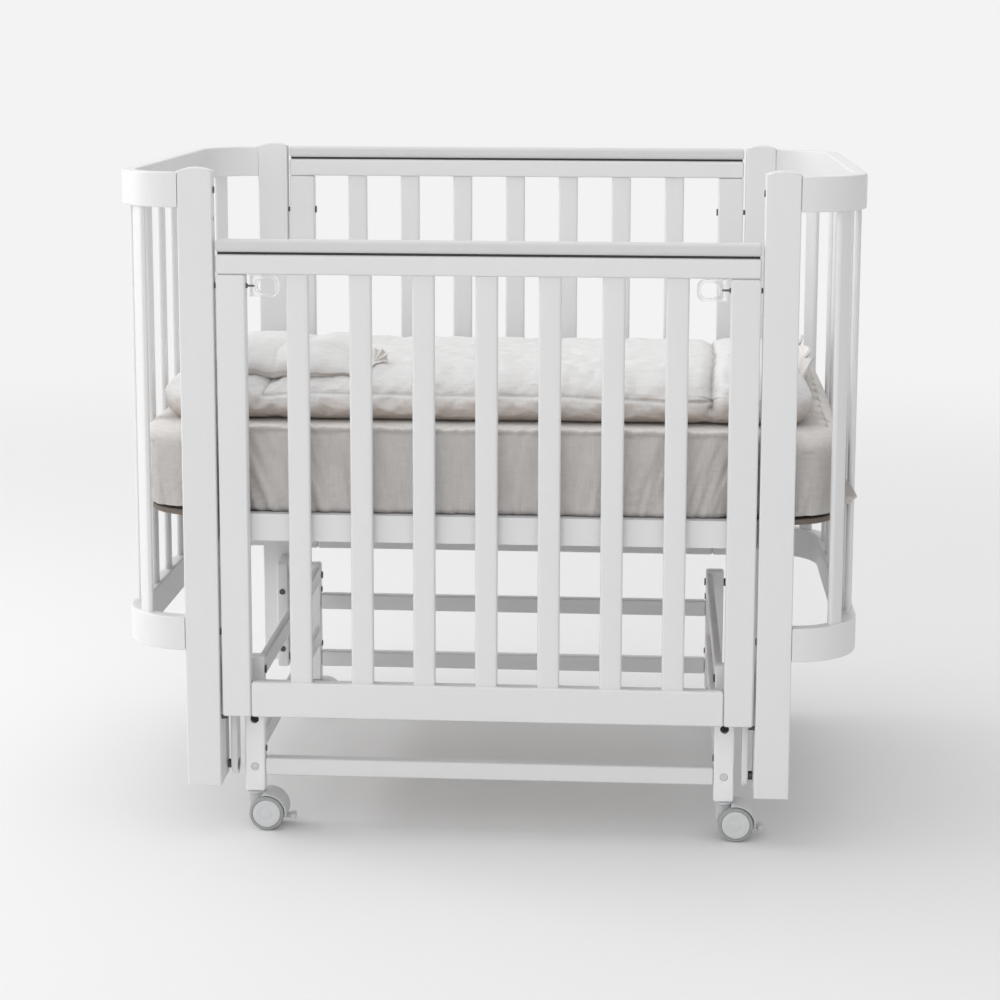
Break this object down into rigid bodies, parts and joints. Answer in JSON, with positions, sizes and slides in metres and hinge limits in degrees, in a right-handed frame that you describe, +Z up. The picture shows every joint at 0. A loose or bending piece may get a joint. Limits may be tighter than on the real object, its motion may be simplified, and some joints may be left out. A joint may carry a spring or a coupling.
{
  "type": "pendulum crib",
  "caption": "Painted wooden crib with bent slatted ends and a drop-side front panel, hung on swinging links over a low stand on twin-wheel casters, with mattress, quilt and pillow.",
  "frame": {"origin": "on the floor, at the centre of the crib's bounding box", "axes": "+X along the crib, +Y from the drop side to the rear panel, +Z up"},
  "size_m": [1.036, 0.677, 0.95],
  "materials": {
    "paint": "white painted wood, satin",
    "rail_cap": "smooth, satin",
    "caster_shell": "moulded, satin",
    "wheel": "moulded, satin",
    "latch": "clear to milky, glossy",
    "board": "raw board, matt",
    "sheet": "woven linen look",
    "cotton": "quilted muslin, soft"
  },
  "bodies": {
    "stand": {"leg_front_left": "paint", "leg_front_right": "paint", "leg_rear_left": "paint", "leg_rear_right": "paint", "lower_stretcher_front": "paint", "lower_stretcher_rear": "paint", "upper_stretcher_front": "paint", "upper_stretcher_rear": "paint", "lower_side_rail_left": "paint", "lower_side_rail_right": "paint", "upper_side_rail_left": "paint", "upper_side_rail_right": "paint"},
    "link_front_left": {"link_front_left": "paint"},
    "link_front_right": {"link_front_right": "paint"},
    "link_rear_left": {"link_rear_left": "paint"},
    "link_rear_right": {"link_rear_right": "paint"},
    "crib": {"post_front_left": "paint", "post_front_right": "paint", "post_rear_left": "paint", "post_rear_right": "paint", "bracket_front_left": "paint", "bracket_front_right": "paint", "bracket_rear_left": "paint", "bracket_rear_right": "paint", "end_top_rail_left": "paint", "end_top_rail_right": "paint", "end_slat_rail_left": "paint", "end_slat_rail_right": "paint", "rear_rail_cap": "rail_cap", "rear_top_rail": "paint", "rear_slat_rail": "paint", "rear_stile_left": "paint", "rear_stile_right": "paint", "base_rail_front": "paint", "base_rail_rear": "paint", "base_board": "board", "mattress": "sheet", "quilt": "cotton", "bolster": "cotton", "pillow": "cotton"},
    "front_panel": {"front_rail_cap": "rail_cap", "front_top_rail": "paint", "front_slat_rail": "paint", "front_stile_left": "paint", "front_stile_right": "paint"},
    "latch_left": {"latch_left": "latch"},
    "latch_right": {"latch_right": "latch"},
    "caster_front_left": {"caster_housing_front_left": "caster_shell"},
    "wheels_front_left": {"caster_wheels_front_left": "wheel"},
    "brake_front_left": {"caster_brake_front_left": "caster_shell"},
    "caster_front_right": {"caster_housing_front_right": "caster_shell"},
    "wheels_front_right": {"caster_wheels_front_right": "wheel"},
    "brake_front_right": {"caster_brake_front_right": "caster_shell"},
    "caster_rear_left": {"caster_housing_rear_left": "caster_shell"},
    "wheels_rear_left": {"caster_wheels_rear_left": "wheel"},
    "brake_rear_left": {"caster_brake_rear_left": "caster_shell"},
    "caster_rear_right": {"caster_housing_rear_right": "caster_shell"},
    "wheels_rear_right": {"caster_wheels_rear_right": "wheel"},
    "brake_rear_right": {"caster_brake_rear_right": "caster_shell"}
  },
  "joints": [
    {"name": "crib_swing", "type": "hinge", "parent": "link_front_left", "child": "crib", "pos_m": [-0.3635, -0.283, 0.092], "axis": [1, 0, 0], "range_deg": [-7.5, 7.5]},
    {"name": "link_front_left_swing", "type": "hinge", "parent": "stand", "child": "link_front_left", "pos_m": [-0.3635, -0.283, 0.233], "axis": [1, 0, 0], "range_deg": [-7.5, 7.5]},
    {"name": "link_front_right_swing", "type": "hinge", "parent": "stand", "child": "link_front_right", "pos_m": [0.3635, -0.283, 0.233], "axis": [1, 0, 0], "range_deg": [-7.5, 7.5]},
    {"name": "link_rear_left_swing", "type": "hinge", "parent": "stand", "child": "link_rear_left", "pos_m": [-0.3635, 0.283, 0.233], "axis": [1, 0, 0], "range_deg": [-7.5, 7.5]},
    {"name": "link_rear_right_swing", "type": "hinge", "parent": "stand", "child": "link_rear_right", "pos_m": [0.3635, 0.283, 0.233], "axis": [1, 0, 0], "range_deg": [-7.5, 7.5]},
    {"name": "front_panel_slide", "type": "slide", "parent": "crib", "child": "front_panel", "axis": [0, 0, 1], "range_m": [0, 0.092]},
    {"name": "latch_left_slide", "type": "slide", "parent": "front_panel", "child": "latch_left", "axis": [-1, 0, 0], "range_m": [0, 0.0045]},
    {"name": "latch_right_slide", "type": "slide", "parent": "front_panel", "child": "latch_right", "axis": [1, 0, 0], "range_m": [0, 0.0045]},
    {"name": "caster_front_left_swivel", "type": "hinge", "parent": "stand", "child": "caster_front_left", "pos_m": [-0.3345, -0.283, 0.045], "axis": [0, 0, 1], "continuous": true},
    {"name": "wheels_front_left_spin", "type": "hinge", "parent": "caster_front_left", "child": "wheels_front_left", "pos_m": [-0.317, -0.283, 0.025], "axis": [0, 1, 0], "continuous": true},
    {"name": "brake_front_left_press", "type": "hinge", "parent": "caster_front_left", "child": "brake_front_left", "pos_m": [-0.3025, -0.283, 0.017], "axis": [0, 1, 0], "range_deg": [0, 16]},
    {"name": "caster_front_right_swivel", "type": "hinge", "parent": "stand", "child": "caster_front_right", "pos_m": [0.3345, -0.283, 0.045], "axis": [0, 0, 1], "continuous": true},
    {"name": "wheels_front_right_spin", "type": "hinge", "parent": "caster_front_right", "child": "wheels_front_right", "pos_m": [0.352, -0.283, 0.025], "axis": [0, 1, 0], "continuous": true},
    {"name": "brake_front_right_press", "type": "hinge", "parent": "caster_front_right", "child": "brake_front_right", "pos_m": [0.3665, -0.283, 0.017], "axis": [0, 1, 0], "range_deg": [0, 16]},
    {"name": "caster_rear_left_swivel", "type": "hinge", "parent": "stand", "child": "caster_rear_left", "pos_m": [-0.3345, 0.283, 0.045], "axis": [0, 0, 1], "continuous": true},
    {"name": "wheels_rear_left_spin", "type": "hinge", "parent": "caster_rear_left", "child": "wheels_rear_left", "pos_m": [-0.317, 0.283, 0.025], "axis": [0, 1, 0], "continuous": true},
    {"name": "brake_rear_left_press", "type": "hinge", "parent": "caster_rear_left", "child": "brake_rear_left", "pos_m": [-0.3025, 0.283, 0.017], "axis": [0, 1, 0], "range_deg": [0, 16]},
    {"name": "caster_rear_right_swivel", "type": "hinge", "parent": "stand", "child": "caster_rear_right", "pos_m": [0.3345, 0.283, 0.045], "axis": [0, 0, 1], "continuous": true},
    {"name": "wheels_rear_right_spin", "type": "hinge", "parent": "caster_rear_right", "child": "wheels_rear_right", "pos_m": [0.352, 0.283, 0.025], "axis": [0, 1, 0], "continuous": true},
    {"name": "brake_rear_right_press", "type": "hinge", "parent": "caster_rear_right", "child": "brake_rear_right", "pos_m": [0.3665, 0.283, 0.017], "axis": [0, 1, 0], "range_deg": [0, 16]}
  ],
  "couplings": [
    {"joint": "link_front_left_swing", "follows": "crib_swing", "ratio": -1},
    {"joint": "link_front_right_swing", "follows": "crib_swing", "ratio": -1},
    {"joint": "link_rear_left_swing", "follows": "crib_swing", "ratio": -1},
    {"joint": "link_rear_right_swing", "follows": "crib_swing", "ratio": -1}
  ]
}
